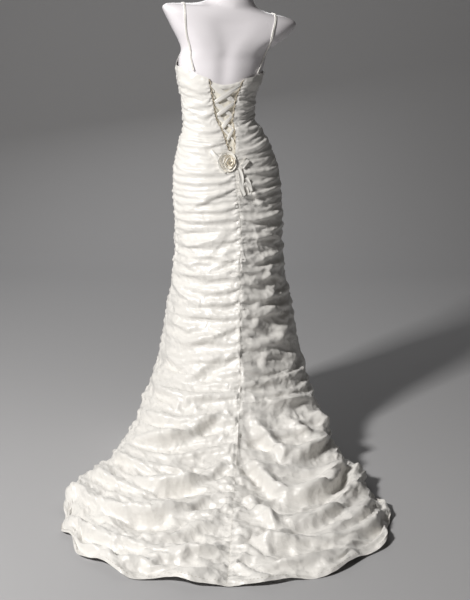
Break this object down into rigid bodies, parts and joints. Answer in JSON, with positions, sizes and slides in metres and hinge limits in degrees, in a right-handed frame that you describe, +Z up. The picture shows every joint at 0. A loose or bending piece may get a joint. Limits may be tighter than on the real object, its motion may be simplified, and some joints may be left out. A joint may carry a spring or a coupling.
{
  "type": "wedding dress on a limbless dress form",
  "caption": "Strapped fit-and-flare wedding dress in gathered taffeta with a laced back, fabric flower and train, worn by a limbless dress form on a stand.",
  "frame": {"origin": "centre of the underside of the stand's round foot, on the floor", "axes": "+Z up, -Y the way the gown faces, +Y towards the train, +X the wearer's left"},
  "size_m": [0.9421, 1.2649, 1.5813],
  "materials": {
    "taffeta": "ivory silk-like taffeta, crisp, with a soft sheen",
    "satin_ribbon": "ivory satin",
    "rose_fabric": "cream to beige rolled fabric",
    "form_gloss": "smooth glossy white",
    "pole_steel": "brushed",
    "foot_paint": "satin white paint"
  },
  "bodies": {
    "root": {"front": "taffeta", "back_left": "taffeta", "back_right": "taffeta", "strap_left": "satin_ribbon", "strap_right": "satin_ribbon", "modesty_panel": "satin_ribbon", "lace_ribbon_1": "satin_ribbon", "lace_ribbon_2": "satin_ribbon", "loops_left": "satin_ribbon", "loops_right": "satin_ribbon", "rose": "rose_fabric", "bow_loop_left": "satin_ribbon", "bow_loop_right": "satin_ribbon", "bow_tail_short": "satin_ribbon", "bow_tail_long": "satin_ribbon", "form_torso": "form_gloss", "form_pole": "pole_steel", "form_foot": "foot_paint"}
  },
  "joints": []
}
